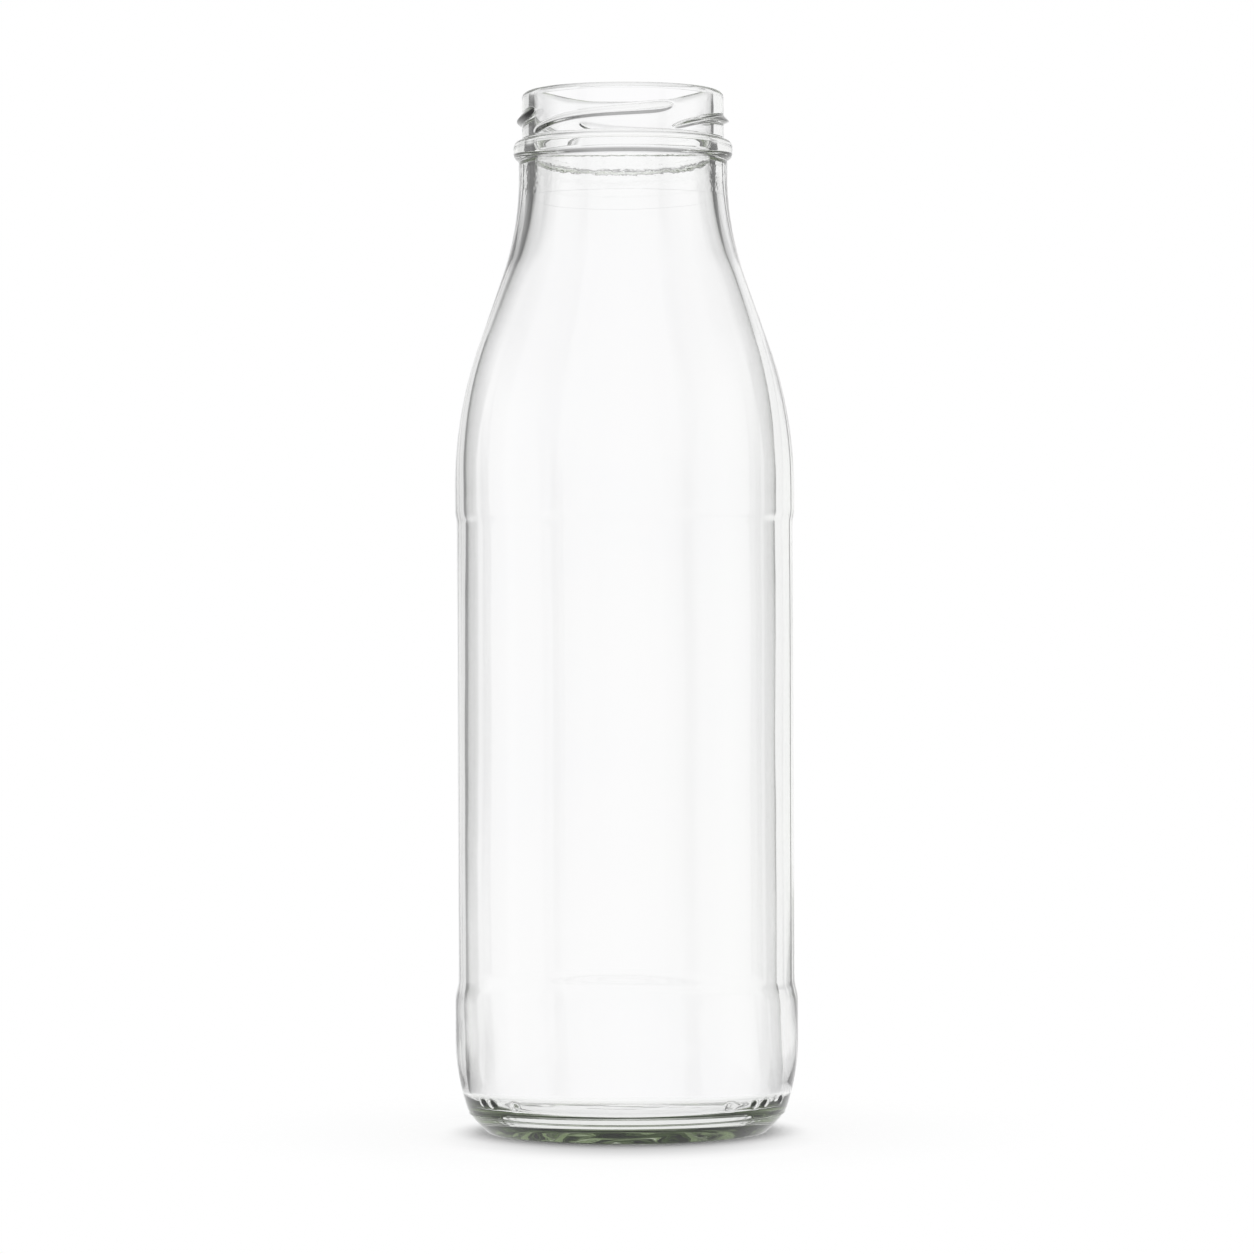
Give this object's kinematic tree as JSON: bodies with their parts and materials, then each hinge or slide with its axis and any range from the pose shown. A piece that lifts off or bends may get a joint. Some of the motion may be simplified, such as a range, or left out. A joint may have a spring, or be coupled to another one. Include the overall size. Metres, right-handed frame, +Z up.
{
  "type": "glass milk bottle",
  "caption": "Clear glass milk bottle with an open wide neck, twist-off lug finish and bead, sloping shoulder, recessed label panel and rounded heel.",
  "frame": {"origin": "centre of the standing ring, on the surface that the bottle stands on", "axes": "+Z up along the bottle's axis and out of its mouth, -Y towards the front as pictured, +X to the right"},
  "size_m": [0.0682, 0.0682, 0.207],
  "materials": {
    "clear_glass": "clear, fire-polished"
  },
  "bodies": {
    "root": {"glass_bottle": "clear_glass"}
  },
  "joints": []
}
